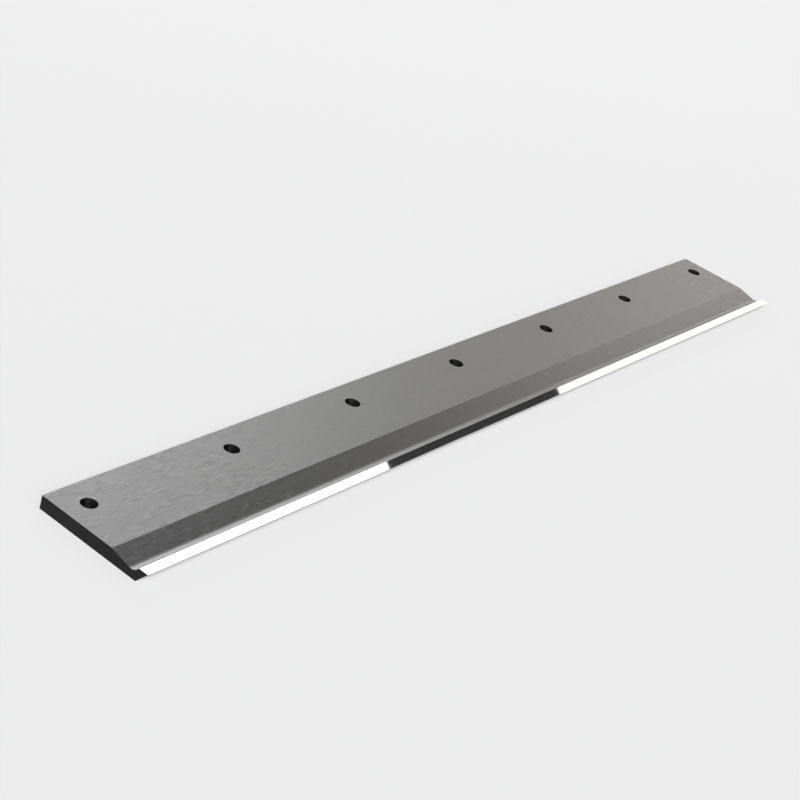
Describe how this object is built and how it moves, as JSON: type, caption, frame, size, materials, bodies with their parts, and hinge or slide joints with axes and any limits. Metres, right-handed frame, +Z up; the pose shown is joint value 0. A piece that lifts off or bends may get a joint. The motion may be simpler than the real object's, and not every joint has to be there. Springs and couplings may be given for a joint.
{
  "type": "counter knife",
  "caption": "Long flat counter knife of ground steel: a row of plain bolt holes, a shallow bevel, a rounded hollow and a narrow level land over an undercut front.",
  "frame": {"origin": "centre of the middle bolt hole, on the flat bottom face", "axes": "+X along the knife, +Y from the bolt holes to the rear face, +Z up out of the seat; the cutting edge points to -Y"},
  "size_m": [0.662, 0.075, 0.008],
  "materials": {
    "ground_steel": "fine ground seat and bevel, bright lapped land, dark unground ends"
  },
  "bodies": {
    "root": {"counter_knife": "ground_steel"}
  },
  "joints": []
}
